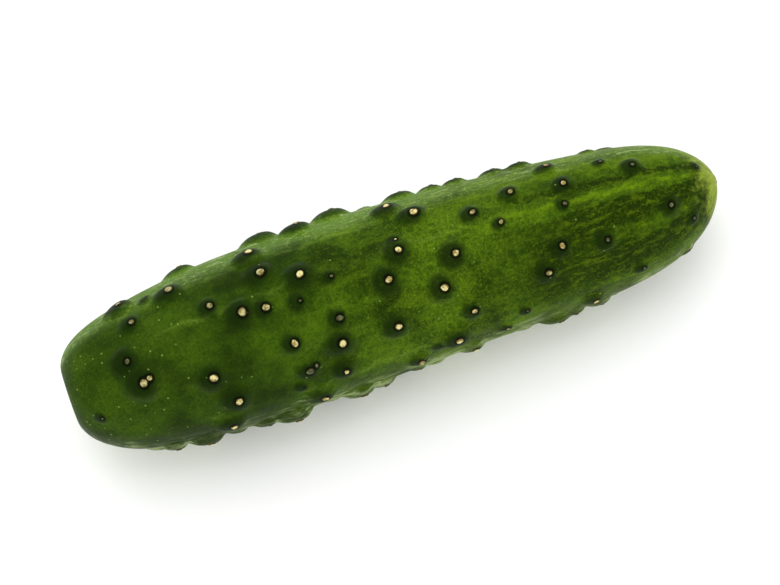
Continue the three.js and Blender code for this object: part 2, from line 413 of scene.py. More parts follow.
def skin_tree():
    """Wraps the outline round the fruit's axis and raises the warts on it, one after another."""
    tree, start, finish = new_tree("grow skin", {
        "Warts": "Object", "Facets round": "Int", "Rings": "Int", "Half length": "Float",
        "Lobe depth": "Float", "Rib depth": "Float", "Rib angle": "Float",
        "Bow": "Float", "Bow centre": "Float", "Bow station": "Float", "Axis slope": "Float",
        "Stem hook": "Float", "Stem hook from": "Float",
        "Blossom hook": "Float", "Blossom hook from": "Float",
        "Lean": "Float", "Scar collar": "Float", "Halo offset": "Vector", "Halo reach": "Float",
        "Swell": "Float", "Swell size": "Float",
        "Skin": "Material"})
    given = start.outputs

    ball = add(tree, "GeometryNodeMeshUVSphere",
               {"Segments": given["Facets round"], "Rings": given["Rings"], "Radius": 1.0})
    place = add(tree, "GeometryNodeInputPosition")
    ball_xyz = add(tree, "ShaderNodeSeparateXYZ", {0: place}, out=None)
    turn_down = add(tree, "ShaderNodeMath", {0: ball_xyz.outputs["Z"]}, operation="ARCCOSINE")
    share = add(tree, "ShaderNodeMath", {0: turn_down, 1: math.pi}, operation="DIVIDE")
    ring_back = add(tree, "ShaderNodeMath", {0: share, 1: given["Rings"]}, operation="MULTIPLY")
    ring = add(tree, "ShaderNodeMath", {0: given["Rings"], 1: ring_back}, operation="SUBTRACT")
    ring = add(tree, "ShaderNodeMath", {0: ring}, operation="ROUND")

    outline_xyz = add(tree, "GeometryNodeSampleIndex",
                      {"Geometry": given["Geometry"], "Value": place, "Index": ring},
                      data_type="FLOAT_VECTOR", domain="POINT")
    outline_xyz = add(tree, "ShaderNodeSeparateXYZ", {0: outline_xyz}, out=None)
    radius, station = outline_xyz.outputs["X"], outline_xyz.outputs["Z"]

    round_yz = add(tree, "ShaderNodeCombineXYZ",
                   {"X": 0.0, "Y": ball_xyz.outputs["X"], "Z": ball_xyz.outputs["Y"]})
    facing = add(tree, "ShaderNodeVectorMath", {0: round_yz}, operation="NORMALIZE")
    facing_xyz = add(tree, "ShaderNodeSeparateXYZ", {0: facing}, out=None)
    angle = add(tree, "ShaderNodeMath", {0: facing_xyz.outputs["Y"], 1: facing_xyz.outputs["Z"]},
                operation="ARCTAN2")

    lobe_turn = add(tree, "ShaderNodeMath", {0: angle, 1: float(LOBES)}, operation="MULTIPLY")
    lobe = add(tree, "ShaderNodeMath", {0: lobe_turn}, operation="COSINE")
    rib_turn = add(tree, "ShaderNodeMath", {0: angle, 1: given["Rib angle"]}, operation="SUBTRACT")
    rib_turn = add(tree, "ShaderNodeMath", {0: rib_turn, 1: float(RIBS)}, operation="MULTIPLY")
    rib = add(tree, "ShaderNodeMath", {0: rib_turn}, operation="COSINE")
    section = add(tree, "ShaderNodeMath", {0: lobe, 1: given["Lobe depth"], 2: 1.0},
                  operation="MULTIPLY_ADD")
    section = add(tree, "ShaderNodeMath", {0: rib, 1: given["Rib depth"], 2: section},
                  operation="MULTIPLY_ADD")
    away = add(tree, "ShaderNodeMath", {0: radius, 1: section}, operation="MULTIPLY")

    part_way = add(tree, "ShaderNodeMath", {0: station, 1: given["Half length"]}, operation="DIVIDE")
    bow_way = add(tree, "ShaderNodeMath", {0: station, 1: given["Bow station"]}, operation="SUBTRACT")
    bow_way = add(tree, "ShaderNodeMath", {0: bow_way, 1: given["Half length"]}, operation="DIVIDE")
    squared = add(tree, "ShaderNodeMath", {0: bow_way, 1: bow_way}, operation="MULTIPLY")
    lean_back = add(tree, "ShaderNodeMath", {0: squared, 1: given["Bow"]}, operation="MULTIPLY")
    across = add(tree, "ShaderNodeMath", {0: given["Bow centre"], 1: lean_back}, operation="SUBTRACT")
    for end, end_station in (("Stem hook", -LENGTH / 2 * MM), ("Blossom hook", LENGTH / 2 * MM)):
        hook_way = add(tree, "ShaderNodeMapRange",
                       {"Value": station, "From Min": given[end + " from"], "From Max": end_station,
                        "To Min": 0.0, "To Max": 1.0})
        hook_way = add(tree, "ShaderNodeMath", {0: hook_way, 1: hook_way}, operation="MULTIPLY")
        across = add(tree, "ShaderNodeMath", {0: hook_way, 1: given[end], 2: across},
                     operation="MULTIPLY_ADD")
    drop = add(tree, "ShaderNodeMath", {0: station, 1: given["Axis slope"]}, operation="MULTIPLY")
    drop = add(tree, "ShaderNodeMath", {0: drop, 1: -1.0}, operation="MULTIPLY")
    axis = add(tree, "ShaderNodeCombineXYZ", {"X": station, "Y": across, "Z": drop})
    bare = add(tree, "ShaderNodeVectorMath", {0: facing, 1: away, 2: axis}, operation="MULTIPLY_ADD")

    skin = add(tree, "GeometryNodeStoreNamedAttribute",
               {"Geometry": ball, "Name": "facing", "Value": facing},
               data_type="FLOAT_VECTOR", domain="POINT")
    skin = add(tree, "GeometryNodeStoreNamedAttribute",
               {"Geometry": skin, "Name": "along", "Value": part_way},
               data_type="FLOAT", domain="POINT")
    skin = add(tree, "GeometryNodeStoreNamedAttribute",
               {"Geometry": skin, "Name": "wart", "Value": (0.0, 0.0, 0.0)},
               data_type="FLOAT_VECTOR", domain="POINT")
    skin = add(tree, "GeometryNodeStoreNamedAttribute",
               {"Geometry": skin, "Name": "bare", "Value": bare},
               data_type="FLOAT_VECTOR", domain="POINT")
    skin = add(tree, "GeometryNodeSetPosition", {"Geometry": skin, "Position": bare})

    # One wart is raised at each step of this loop.
    warts = add(tree, "GeometryNodeObjectInfo", {"Object": given["Warts"]}, out="Geometry")
    count = add(tree, "GeometryNodeAttributeDomainSize", {"Geometry": warts}, out="Point Count")
    loop_in = add(tree, "GeometryNodeRepeatInput", out=None)
    loop_out = add(tree, "GeometryNodeRepeatOutput", out=None)
    loop_in.pair_with_output(loop_out)
    tree.links.new(count, loop_in.inputs["Iterations"])
    tree.links.new(skin, loop_in.inputs["Geometry"])
    step = loop_in.outputs["Iteration"]
    centre = add(tree, "GeometryNodeSampleIndex", {"Geometry": warts, "Value": place, "Index": step},
                 data_type="FLOAT_VECTOR", domain="POINT")
    sizes = add(tree, "GeometryNodeInputNamedAttribute", {"Name": "sizes"}, data_type="FLOAT_VECTOR")
    sizes = add(tree, "GeometryNodeSampleIndex", {"Geometry": warts, "Value": sizes, "Index": step},
                data_type="FLOAT_VECTOR", domain="POINT")
    sizes_xyz = add(tree, "ShaderNodeSeparateXYZ", {0: sizes}, out=None)
    reach, height, scar_radius = (sizes_xyz.outputs[k] for k in range(3))

    bare_here = add(tree, "GeometryNodeInputNamedAttribute", {"Name": "bare"},
                    data_type="FLOAT_VECTOR")
    apart = add(tree, "ShaderNodeVectorMath", {0: bare_here, 1: centre}, operation="SUBTRACT")
    apart_xyz = add(tree, "ShaderNodeSeparateXYZ", {0: apart}, out=None)
    leaned = add(tree, "ShaderNodeMath", {0: apart_xyz.outputs["X"]}, operation="ABSOLUTE")
    leaned = add(tree, "ShaderNodeMath",
                 {0: leaned, 1: given["Lean"], 2: apart_xyz.outputs["X"]}, operation="MULTIPLY_ADD")
    skirt_vector = add(tree, "ShaderNodeCombineXYZ",
                       {"X": leaned, "Y": apart_xyz.outputs["Y"], "Z": apart_xyz.outputs["Z"]})
    skirt_distance = add(tree, "ShaderNodeVectorMath", {0: skirt_vector}, out="Value",
                         operation="LENGTH")
    skirt = add(tree, "ShaderNodeMath", {0: skirt_distance, 1: reach}, operation="DIVIDE")
    skirt = add(tree, "ShaderNodeMath", {0: skirt, 1: DOME_FULLNESS}, operation="POWER")
    skirt = add(tree, "ShaderNodeMath", {0: 1.0, 1: skirt}, operation="SUBTRACT", use_clamp=True)
    mound = add(tree, "ShaderNodeMath", {0: skirt, 1: DOME_FOOT}, operation="POWER")
    mound = add(tree, "ShaderNodeMath", {0: mound, 1: height}, operation="MULTIPLY")
    distance = add(tree, "ShaderNodeVectorMath", {0: apart}, out="Value", operation="LENGTH")
    ring_apart = add(tree, "ShaderNodeVectorMath", {0: apart, 1: given["Halo offset"]},
                     operation="ADD")
    halo = add(tree, "ShaderNodeVectorMath", {0: ring_apart}, out="Value", operation="LENGTH")
    halo_edge = add(tree, "ShaderNodeMath", {0: reach, 1: given["Halo reach"]}, operation="MULTIPLY")
    halo = add(tree, "ShaderNodeMapRange",
               {"Value": halo, "From Min": 0.0, "From Max": halo_edge, "To Min": 1.0, "To Max": 0.0})
    collar_edge = add(tree, "ShaderNodeMath", {0: scar_radius, 1: given["Scar collar"]},
                      operation="ADD")
    collar = add(tree, "ShaderNodeMapRange",
                 {"Value": distance, "From Min": scar_radius, "From Max": collar_edge,
                  "To Min": 1.0, "To Max": 0.0}, interpolation_type="SMOOTHERSTEP")
    marks = add(tree, "ShaderNodeCombineXYZ", {"X": mound, "Y": halo, "Z": collar})
    marks_so_far = add(tree, "GeometryNodeInputNamedAttribute", {"Name": "wart"},
                       data_type="FLOAT_VECTOR")
    marks = add(tree, "ShaderNodeVectorMath", {0: marks_so_far, 1: marks}, operation="MAXIMUM")
    marked = add(tree, "GeometryNodeStoreNamedAttribute",
                 {"Geometry": loop_in.outputs["Geometry"], "Name": "wart", "Value": marks},
                 data_type="FLOAT_VECTOR", domain="POINT")
    tree.links.new(marked, loop_out.inputs["Geometry"])
    skin = loop_out.outputs["Geometry"]

    swell_scale = add(tree, "ShaderNodeMath", {0: 1.0, 1: given["Swell size"]}, operation="DIVIDE")
    swell = add(tree, "ShaderNodeTexNoise",
                {"Vector": place, "Scale": swell_scale, "Detail": 3.0, "Roughness": 0.45},
                noise_dimensions="3D")
    swell = add(tree, "ShaderNodeMath", {0: swell, 1: 0.5}, operation="SUBTRACT")
    marks_now = add(tree, "GeometryNodeInputNamedAttribute", {"Name": "wart"},
                    data_type="FLOAT_VECTOR")
    marks_xyz = add(tree, "ShaderNodeSeparateXYZ", {0: marks_now}, out=None)
    raised = add(tree, "ShaderNodeMath",
                 {0: swell, 1: given["Swell"], 2: marks_xyz.outputs["X"]}, operation="MULTIPLY_ADD")
    facing_here = add(tree, "GeometryNodeInputNamedAttribute", {"Name": "facing"},
                      data_type="FLOAT_VECTOR")
    offset = add(tree, "ShaderNodeVectorMath", {0: facing_here, "Scale": raised}, operation="SCALE")
    skin = add(tree, "GeometryNodeSetPosition", {"Geometry": skin, "Offset": offset})
    skin = add(tree, "GeometryNodeRemoveAttribute", {"Geometry": skin, "Name": "bare"})
    skin = add(tree, "GeometryNodeSetShadeSmooth", {"Geometry": skin})
    skin = add(tree, "GeometryNodeRealizeInstances", {"Geometry": skin})
    skin = add(tree, "GeometryNodeSetMaterial", {"Geometry": skin, "Material": given["Skin"]})
    tree.links.new(skin, finish.inputs["Geometry"])
    return tree


# ---- the dry scars of the spines ----

def spine_scar_tree():
    """Puts a small uneven disc of cork on top of each wart that has a scar."""
    tree, start, finish = new_tree("set spine scars", {
        "Skin piece": "Object", "Sides": "Int", "Thickness": "Float",
        "Unevenness": "Float", "Seed": "Int", "Cork": "Material"})
    given = start.outputs

    facing = add(tree, "GeometryNodeInputNamedAttribute", {"Name": "facing"}, data_type="FLOAT_VECTOR")
    radius = add(tree, "GeometryNodeInputNamedAttribute", {"Name": "scar_radius"}, data_type="FLOAT")
    bald = add(tree, "FunctionNodeCompare", {"A": radius, "B": LEAST_SCAR_RADIUS * MM},
               data_type="FLOAT", operation="LESS_THAN")
    points = add(tree, "GeometryNodeDeleteGeometry",
                 {"Geometry": given["Geometry"], "Selection": bald}, domain="POINT")

    skin = add(tree, "GeometryNodeObjectInfo", {"Object": given["Skin piece"]}, out="Geometry")
    place = add(tree, "GeometryNodeInputPosition")
    above = add(tree, "ShaderNodeVectorMath", {0: facing, "Scale": DROP_FROM * MM}, operation="SCALE")
    above = add(tree, "ShaderNodeVectorMath", {0: place, 1: above}, operation="ADD")
    inwards = add(tree, "ShaderNodeVectorMath", {0: facing, "Scale": -1.0}, operation="SCALE")
    hit = add(tree, "GeometryNodeRaycast",
              {"Target Geometry": skin, "Source Position": above, "Ray Direction": inwards,
               "Ray Length": DROP_LENGTH * MM}, out=None)
    points = add(tree, "GeometryNodeStoreNamedAttribute",
                 {"Geometry": points, "Name": "lie", "Value": hit.outputs["Hit Normal"]},
                 data_type="FLOAT_VECTOR", domain="POINT")
    points = add(tree, "GeometryNodeSetPosition",
                 {"Geometry": points, "Position": hit.outputs["Hit Position"]})

    # The disc: a low dome with a raised edge and a dent in the middle, one unit in radius.
    disc = add(tree, "GeometryNodeMeshCylinder",
               {"Vertices": given["Sides"], "Side Segments": 1, "Fill Segments": 3,
                "Radius": 1.0, "Depth": 1.0}, fill_type="TRIANGLE_FAN")
    disc_xyz = add(tree, "ShaderNodeSeparateXYZ", {0: place}, out=None)
    flat = add(tree, "ShaderNodeCombineXYZ",
               {"X": disc_xyz.outputs["X"], "Y": disc_xyz.outputs["Y"], "Z": 0.0})
    from_centre = add(tree, "ShaderNodeVectorMath", {0: flat}, out="Value", operation="LENGTH")
    dome = add(tree, "ShaderNodeFloatCurve", {"Value": from_centre}, out=None)
    curve = dome.mapping.curves[0]
    curve.points[0].location = SCAR_FACE[0]
    curve.points[1].location = SCAR_FACE[-1]
    for share, height in SCAR_FACE[1:-1]:
        curve.points.new(share, height)
    dome.mapping.update()
    on_top = add(tree, "FunctionNodeCompare", {"A": disc_xyz.outputs["Z"], "B": 0.0},
                 data_type="FLOAT", operation="GREATER_THAN")
    top = add(tree, "ShaderNodeCombineXYZ",
              {"X": disc_xyz.outputs["X"], "Y": disc_xyz.outputs["Y"], "Z": dome.outputs["Value"]})
    disc = add(tree, "GeometryNodeStoreNamedAttribute",
               {"Geometry": disc, "Name": "from_centre", "Value": from_centre},
               data_type="FLOAT", domain="POINT")
    disc = add(tree, "GeometryNodeSetPosition",
               {"Geometry": disc, "Selection": on_top, "Position": top})

    lie = add(tree, "GeometryNodeInputNamedAttribute", {"Name": "lie"}, data_type="FLOAT_VECTOR")
    tilt = add(tree, "FunctionNodeAlignRotationToVector", {"Vector": lie}, axis="Z")
    spin = add(tree, "FunctionNodeRandomValue",
               {2: -SCAR_TURN, 3: SCAR_TURN, "Seed": given["Seed"]}, out=1, data_type="FLOAT")
    spin = add(tree, "ShaderNodeCombineXYZ", {"Z": spin})
    turned = add(tree, "FunctionNodeRotateRotation", {"Rotation": tilt, "Rotate By": spin},
                 rotation_space="LOCAL")
    stretch = add(tree, "FunctionNodeRandomValue",
                  {0: SCAR_LEAST_STRETCH, 1: SCAR_MOST_STRETCH, "Seed": given["Seed"]}, out=0,
                  data_type="FLOAT_VECTOR")
    height = add(tree, "ShaderNodeMath", {0: radius, 1: given["Thickness"]}, operation="MULTIPLY")
    size = add(tree, "ShaderNodeCombineXYZ", {"X": radius, "Y": radius, "Z": height})
    size = add(tree, "ShaderNodeVectorMath", {0: size, 1: stretch}, operation="MULTIPLY")
    scars = add(tree, "GeometryNodeInstanceOnPoints",
                {"Points": points, "Instance": disc, "Rotation": turned, "Scale": size})
    scars = add(tree, "GeometryNodeRealizeInstances", {"Geometry": scars})

    rough = add(tree, "ShaderNodeTexNoise",
                {"Vector": place, "Scale": 1 / (SCAR_LUMP_SIZE * MM), "Detail": 2.0}, out="Color",
                noise_dimensions="3D")
    rough = add(tree, "ShaderNodeVectorMath", {0: rough, 1: (0.5, 0.5, 0.5)}, operation="SUBTRACT")
    uneven = add(tree, "ShaderNodeMath", {0: radius, 1: given["Unevenness"]}, operation="MULTIPLY")
    rough = add(tree, "ShaderNodeVectorMath", {0: rough, "Scale": uneven}, operation="SCALE")
    scars = add(tree, "GeometryNodeSetPosition", {"Geometry": scars, "Offset": rough})
    scars = add(tree, "GeometryNodeSetShadeSmooth", {"Geometry": scars})
    scars = add(tree, "GeometryNodeRealizeInstances", {"Geometry": scars})
    scars = add(tree, "GeometryNodeSetMaterial", {"Geometry": scars, "Material": given["Cork"]})
    tree.links.new(scars, finish.inputs["Geometry"])
    return tree


# ---- the scars of the two ends ----

def turned_piece(name, profile, sides, unevenness, lump_size):
    """A closed lumpy solid turned round the fruit's axis, from its outline as stations and radii."""
    vertices = []
    for station, radius in profile:
        for side in range(sides if radius else 1):
            point = skin_point(station, radius, 2 * math.pi * side / sides)
            point += noise.noise_vector(point / lump_size) * unevenness
            vertices.append(point * MM)
    faces = []
    last_ring = len(vertices) - 1 - sides
    for side in range(sides):
        after = (side + 1) % sides
        faces.append((0, 1 + after, 1 + side))
        for ring in range(1, last_ring, sides):
            faces.append((ring + side, ring + after, ring + sides + after, ring + sides + side))
        faces.append((last_ring + side, last_ring + after, len(vertices) - 1))
    if profile[-1][0] > profile[0][0]:
        faces = [face[::-1] for face in faces]
    piece = new_object(name, vertices, faces)
    piece.data.shade_smooth()
    return piece


def stem_scar():
    """The corky disc that is left in the hollow where the stem was cut."""
    floor = station_of_radius(STEM_HOLLOW_RADIUS, -1) + STEM_HOLLOW_DEPTH
    face = floor - STEM_SCAR_RISE
    edge = STEM_SCAR_RADIUS
    under = floor + STEM_SCAR_SINK
    profile = [(under, 0.0), (under, 2.0), (under, edge), (floor, edge + 0.05), (face + 0.15, edge),
               (face, edge - 0.25), (face - 0.02, edge - 0.6), (face + 0.06, 2.4), (face + 0.12, 1.8),
               (face + 0.08, 1.2), (face + 0.02, 0.6), (face, 0.0)]
    return turned_piece("stem_scar", profile, sides=40, unevenness=0.16, lump_size=0.8)


def blossom_scar():
    """The small dry stub that is left where the flower came away."""
    edge = station_of_radius(BLOSSOM_SCAR_RADIUS, 1)
    top = edge + BLOSSOM_SCAR_RISE
    under = edge - BLOSSOM_SCAR_SINK
    profile = [(under, 0.0), (under, 0.5), (under + 0.1, 0.8), (edge, 0.86), (edge + 0.08, 0.8),
               (top - 0.02, 0.65), (top, 0.5), (top - 0.05, 0.25), (top - 0.08, 0.0)]
    return turned_piece("blossom_scar", profile, sides=28, unevenness=0.08, lump_size=0.6)


# ---- materials ----

def new_material(name):
    material = bpy.data.materials.new(name)
    material.use_nodes = True
    tree = material.node_tree
    tree.nodes.clear()
    shader = add(tree, "ShaderNodeBsdfPrincipled", out=None)
    add(tree, "ShaderNodeOutputMaterial", {"Surface": shader.outputs["BSDF"]})
    return material, tree, shader


# Light and dark bands that run along the blossom half: each one's angle and how light it is, where
# 0.5 is the colour of the ground.
BANDS = [
    (-180, 0.4), (-165, 0.75), (-150, 0.35), (-135, 0.75), (-120, 0.35), (-104, 0.7), (-88, 0.75),
    (-77, 0.45), (-68, 0.3), (-56, 0.08), (-46, 0.15), (-39, 0.4), (-31, 0.45), (-23, 0.2),
    (-14, 0.05), (-8, 0.15), (-3, 0.5), (2, 1.0), (7, 0.5), (13, 0.12), (18, 0.4), (24, 0.7), (34, 0.85),
    (44, 0.65), (56, 0.95), (70, 0.8), (88, 0.35), (106, 0.7), (122, 0.3), (140, 0.75), (160, 0.3),
    (180, 0.4),
]

# Thin painted highlights along the crests of the ribs of the stem half: each one's angle and strength.
CRESTS = [
    (-142, 0.5), (-110, 0.5), (-72, 0.6), (-38, 0.35), (6, 0.8), (34, 1.0), (70, 0.6), (106, 0.5),
    (142, 0.5),
]
CREST_HALF_WIDTH = 4.0

# How far a band or a crest wanders to either side, in radians, and how far the skin's patterns sway,
# in millimetres, over what distance.
WAVER = 0.2
SWAY = 1.6
SWAY_SIZE = 3.0

# The width of one mesh of the fine net on the skin, and the distance between its small pale dots.
NET_SIZE = 1.5
DOT_PITCH = 1.6


def waxy_skin():
    """Living cucumber skin under a thin bloom of wax, which gives it a soft broad sheen. Its colour also
    holds painted highlights, a painted floor reflection and partly painted light on the shoulder.
    """
    material, tree, shader = new_material("waxy cucumber skin")
    here = add(tree, "ShaderNodeTexCoord", out="Object")
    along = add(tree, "ShaderNodeAttribute", {}, out="Fac", attribute_name="along")
    facing = add(tree, "ShaderNodeAttribute", {}, out="Vector", attribute_name="facing")
    wart = add(tree, "ShaderNodeAttribute", {}, out="Vector", attribute_name="wart")
    wart_xyz = add(tree, "ShaderNodeSeparateXYZ", {0: wart}, out=None)

    sway = add(tree, "ShaderNodeTexNoise",
               {"Vector": here, "Scale": 1 / (SWAY_SIZE * MM), "Detail": 2.0}, out="Color")
    sway = add(tree, "ShaderNodeVectorMath", {0: sway, 1: (0.5, 0.5, 0.5)}, operation="SUBTRACT")
    sway = add(tree, "ShaderNodeVectorMath", {0: sway, "Scale": SWAY * MM}, operation="SCALE")
    swayed = add(tree, "ShaderNodeVectorMath", {0: here, 1: sway}, operation="ADD")
    long_way = add(tree, "ShaderNodeMapping", {"Vector": swayed, "Scale": (0.5, 1.0, 1.0)})
    fibre_way = add(tree, "ShaderNodeMapping", {"Vector": swayed, "Scale": (0.2, 1.0, 1.0)})

    # Each soft pattern: what it is laid on, the size of its features in millimetres, and how much
    # finer detail it has: its octaves, their strength and how much they are bent.
    patterns = {
        "waver": (here, 7.0, 5.0, 0.7, 0.0),
        "patches": (swayed, 12.0, 3.0, 0.55, 0.0),
        "clouds": (long_way, 4.5, 3.0, 0.6, 0.0),
        "mottle": (long_way, 2.2, 4.0, 0.62, 0.0),
        "fibres": (fibre_way, 1.0, 3.0, 0.6, 0.0),
        "flecks": (swayed, 0.85, 3.0, 0.75, 0.6),
        "grain": (here, 0.4, 2.0, 0.6, 0.0),
    }
    for name, (vector, size, detail, strength, bend) in patterns.items():
        patterns[name] = add(tree, "ShaderNodeTexNoise",
                             {"Vector": vector, "Scale": 1 / (size * MM), "Detail": detail,
                              "Roughness": strength, "Distortion": bend})
    patches, clouds, mottle = patterns["patches"], patterns["clouds"], patterns["mottle"]
    fibres, flecks, grain = patterns["fibres"], patterns["flecks"], patterns["grain"]
    net = add(tree, "ShaderNodeTexVoronoi", {"Vector": swayed, "Scale": 1 / (NET_SIZE * MM)},
              out="Distance", feature="DISTANCE_TO_EDGE")
    dots = add(tree, "ShaderNodeTexVoronoi", {"Vector": here, "Scale": 1 / (DOT_PITCH * MM)},
               out=None)
    dot_pick = add(tree, "ShaderNodeSeparateColor", {0: dots.outputs["Color"]}, out="Red")

    # The angle round the fruit, with the wander that every band and crest has.
    facing_xyz = add(tree, "ShaderNodeSeparateXYZ", {0: facing}, out=None)
    angle = add(tree, "ShaderNodeMath", {0: facing_xyz.outputs["Y"], 1: facing_xyz.outputs["Z"]},
                operation="ARCTAN2")
    waver = add(tree, "ShaderNodeMapRange",
                {"Value": patterns["waver"], "To Min": -WAVER, "To Max": WAVER})
    angle = add(tree, "ShaderNodeMath", {0: angle, 1: waver}, operation="ADD")
    round_share = add(tree, "ShaderNodeMapRange",
                      {"Value": angle, "From Min": -math.pi, "From Max": math.pi})
    bands = add(tree, "ShaderNodeValToRGB", {"Fac": round_share}, out=None)
    crests = add(tree, "ShaderNodeValToRGB", {"Fac": round_share}, out=None)
    band_spots = [((turn + 180) / 360, value) for turn, value in BANDS]
    crest_spots = [(0.0, 0.0)]
    for turn, strength in CRESTS:
        for side in (-1, 0, 1):
            value = strength if side == 0 else 0.0
            crest_spots.append(((turn + side * CREST_HALF_WIDTH + 180) / 360, value))
    crest_spots.append((1.0, 0.0))
    for ramp, spots in ((bands.color_ramp, band_spots), (crests.color_ramp, crest_spots)):
        ramp.interpolation = "EASE"
        for element, (position, value) in zip(ramp.elements, (spots[0], spots[-1])):
            element.position = position
            element.color = (value, value, value, 1)
        for position, value in spots[1:-1]:
            ramp.elements.new(position).color = (value, value, value, 1)

    # Edges that the soft patterns make ragged.
    drifting = add(tree, "ShaderNodeMath", {0: mottle, 1: 0.5, 2: along}, operation="MULTIPLY_ADD")
    tip_edge = add(tree, "ShaderNodeMath", {0: mottle, 1: 0.15, 2: along}, operation="MULTIPLY_ADD")
    halo_edge = add(tree, "ShaderNodeMath", {0: mottle, 1: 0.6, 2: wart_xyz.outputs["Y"]},
                    operation="MULTIPLY_ADD")
    # Edge of the painted floor reflection on the underside, made ragged along the fibres.
    reflection_edge = add(tree, "ShaderNodeMath", {0: fibres, 1: 1.7, 2: facing_xyz.outputs["Z"]},
                     operation="MULTIPLY_ADD")

    # Each share: what it follows, from which value to which, and its strength at those two values.
    shares = {
        "to stem": (along, -0.8, -0.1, 0.45, 0.0),
        "to blossom": (drifting, 0.36, 0.92, 0.0, 1.0),
        "off the stem": (along, -0.8, -0.5, 0.0, 1.0),
        "before the bands": (drifting, 0.2, 0.8, 1.0, 0.0),
        "lively": (along, -0.4, 0.15, 0.2, 1.0),
        "calmer": (along, 0.2, 0.5, 1.0, 0.55),
        "yellowing": (mottle, 0.42, 0.7, 0.0, 0.7),
        "broken": (mottle, 0.35, 0.65, 0.42, 1.0),
        "light cloud": (clouds, 0.52, 0.68, 0.0, 0.24),
        "dark cloud": (clouds, 0.48, 0.34, 0.0, 0.4),
        "net": (net, 0.02, 0.22, 0.45, 0.0),
        "net patch": (patches, 0.35, 0.65, 0.0, 1.0),
        # Partly paler skin, partly painted light: lighter on the side that faces the back lamps.
        "shoulder": (facing_xyz.outputs["Y"], 0.48, 0.84, 0.0, 0.7),
        "less shoulder": (along, 0.1, 0.4, 1.0, 0.5),
        "far side": (facing_xyz.outputs["Y"], 0.5, 0.8, 0.0, 1.0),
        "dome": (wart_xyz.outputs["X"], 0.1 * MM, 0.8 * MM, 0.0, 0.75),
        "upper side": (facing_xyz.outputs["Z"], -0.35, 0.25, 0.55, 1.0),
        "crest patch": (patches, 0.4, 0.55, 0.15, 1.0),
        "crest": (crests.outputs["Color"], 0.0, 1.0, 0.0, 0.5),
        "dark band": (bands.outputs["Color"], 0.2, 0.5, 0.95, 0.0),
        "band patch": (patches, 0.35, 0.6, 0.55, 1.0),
        "light band": (bands.outputs["Color"], 0.55, 1.0, 0.0, 0.72),
        "dark fibre": (fibres, 0.5, 0.3, 0.0, 0.3),
        "light fibre": (fibres, 0.5, 0.7, 0.0, 0.25),
        # Painted highlight: pale streaks along the fibres, for light caught on the ridges of the
        # shoulder.
        "painted highlight streak": (fibres, 0.54, 0.7, 0.0, 0.9),
        # Painted reflection of the white floor on the underside of the fruit.
        "painted floor reflection": (reflection_edge, 0.94, 0.22, 0.0, 0.8),
        "reflection patch": (patches, 0.38, 0.6, 0.2, 1.0),
        "tip": (tip_edge, 1.0, 1.07, 0.0, 0.95),
        "halo": (halo_edge, 0.38, 0.95, 0.0, 0.92),
        "off the halos": (halo_edge, 0.38, 0.85, 1.0, 0.2),
        "dark grain": (grain, 0.54, 0.32, 0.0, 0.38),
        "light grain": (grain, 0.56, 0.74, 0.0, 0.42),
        "flecks": (flecks, 0.5, 0.68, 0.0, 0.6),
        "flecks patch": (patches, 0.3, 0.7, 0.45, 1.0),
        "dot": (dots.outputs["Distance"], 0.05, 0.16, 0.6, 0.0),
        "collar": (wart_xyz.outputs["Z"], 0.0, 1.0, 0.0, 0.9),
        "dot threshold": (along, -0.95, -0.2, 0.4, 0.9),
        "ground": (patches, 0.32, 0.68, 0.0, 1.0),
        "roughness": (mottle, 0.3, 0.7, 0.4, 0.5),
    }
    for name, (value, low, high, least, most) in shares.items():
        shares[name] = add(tree, "ShaderNodeMapRange",
                           {"Value": value, "From Min": low, "From Max": high, "To Min": least,
                            "To Max": most}, interpolation_type="SMOOTHSTEP")
    shares["chosen dot"] = add(tree, "ShaderNodeMath", {0: dot_pick, 1: shares["dot threshold"]},
                               operation="GREATER_THAN")

    # Each layer: its colour, and the shares that together say where it shows. Later layers lie
    # over earlier ones.
    layers = [
        ("1e300a", ["to stem"]),
        ("46620a", ["yellowing", "lively", "calmer"]),
        ("5f7a14", ["net", "net patch", "lively", "calmer"]),
        # Partly paler skin, partly painted light on the shoulder that faces the back lamps.
        ("5a7e1e", ["shoulder", "less shoulder"]),
        ("62800e", ["light cloud", "lively"]),
        ("1c3004", ["dark cloud"]),
        # Painted highlight along the rib crests of the stem half.
        ("6c8c2c", ["crest", "before the bands", "off the stem", "broken", "crest patch"]),
        ("1c2e02", ["dark band", "to blossom"]),
        ("668408", ["light band", "to blossom", "broken", "band patch"]),
        ("213802", ["dark fibre", "to blossom"]),
        ("7a960c", ["light fibre", "to blossom"]),
        ("8ca850", ["flecks", "far side"]),
        # Painted highlight: pale streaks on the shoulder that stand in for light caught on the ridges.
        ("a2b478", ["painted highlight streak", "shoulder"]),
        # Painted reflection: pale streaks on the underside where the white floor is mirrored.
        ("b4c48a", ["painted floor reflection", "reflection patch"]),
        ("223c08", ["dome", "far side", "upper side"]),
        ("8ea034", ["tip"]),
        ("152604", ["halo", "upper side"]),
        ("182a02", ["dark grain"]),
        ("5e7a0a", ["flecks", "flecks patch", "lively", "calmer", "off the halos"]),
        ("728c12", ["light grain", "lively", "calmer", "off the halos"]),
        ("86a04c", ["dot", "chosen dot"]),
        ("080f04", ["collar"]),
    ]
    colour = add(tree, "ShaderNodeMix",
                 {0: shares["ground"], 6: linear("1c2e02"), 7: linear("3a5806")},
                 out=2, data_type="RGBA")
    for hex_colour, names in layers:
        share = shares[names[0]]
        for name in names[1:]:
            share = add(tree, "ShaderNodeMath", {0: share, 1: shares[name]}, operation="MULTIPLY")
        colour = add(tree, "ShaderNodeMix", {0: share, 6: colour, 7: linear(hex_colour)}, out=2,
                     data_type="RGBA")

    tree.links.new(colour, shader.inputs["Base Color"])
    tree.links.new(shares["roughness"], shader.inputs["Roughness"])
